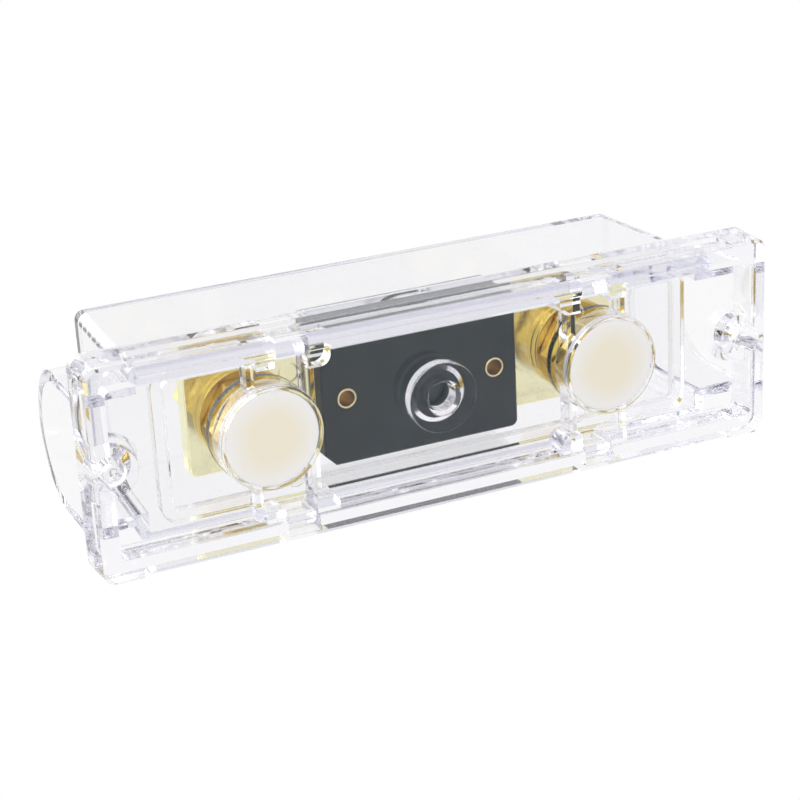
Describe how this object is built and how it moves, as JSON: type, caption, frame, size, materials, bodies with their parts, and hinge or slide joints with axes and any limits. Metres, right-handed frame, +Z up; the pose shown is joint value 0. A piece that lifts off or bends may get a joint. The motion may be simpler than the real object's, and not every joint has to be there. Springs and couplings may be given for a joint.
{
  "type": "bolt-down fuse holder",
  "caption": "Clear bolt-down fuse holder: a shallow base with brass terminal studs, a fuse strip in a dark housing and a lift-off cover with half-round cable outlets.",
  "frame": {"origin": "middle of the footprint, at the rim that the base stands on", "axes": "+X along the fuse, +Y across it, +Z up from the underside towards the cover"},
  "size_m": [0.122, 0.0364, 0.0383],
  "materials": {
    "clear_plastic": "clear moulded plastic, polished",
    "window_plastic": "clear, slightly smoked",
    "housing_plastic": "dark slate, satin",
    "fuse_strip": "pale gold plate, polished",
    "rivet_brass": "dull brass",
    "potting": "milky, satin",
    "spring_steel": "zinc plated",
    "brass": "polished"
  },
  "bodies": {
    "holder": {"base": "clear_plastic", "fuse_body_lower": "housing_plastic", "fuse_body_upper": "housing_plastic", "fuse_window": "window_plastic", "fuse_link": "fuse_strip", "rivet_left": "rivet_brass", "rivet_right": "rivet_brass", "stud_left": "brass", "potting_left": "potting", "seat_nut_left": "brass", "seat_washer_left": "brass", "clamp_washer_left": "brass", "spring_washer_left": "spring_steel", "stud_right": "brass", "potting_right": "potting", "seat_nut_right": "brass", "seat_washer_right": "brass", "clamp_washer_right": "brass", "spring_washer_right": "spring_steel"},
    "lid": {"cover": "clear_plastic"},
    "nut_left": {"clamp_nut_left": "brass"},
    "nut_right": {"clamp_nut_right": "brass"}
  },
  "joints": [
    {"name": "cover_lift", "type": "slide", "parent": "holder", "child": "lid", "axis": [0, 0, 1], "range_m": [0, 0.04]},
    {"name": "clamp_nut_left_turn", "type": "hinge", "parent": "holder", "child": "nut_left", "pos_m": [-0.03075, 0, 0.0267], "axis": [0, 0, 1], "continuous": true},
    {"name": "clamp_nut_right_turn", "type": "hinge", "parent": "holder", "child": "nut_right", "pos_m": [0.03075, 0, 0.0267], "axis": [0, 0, 1], "continuous": true}
  ]
}
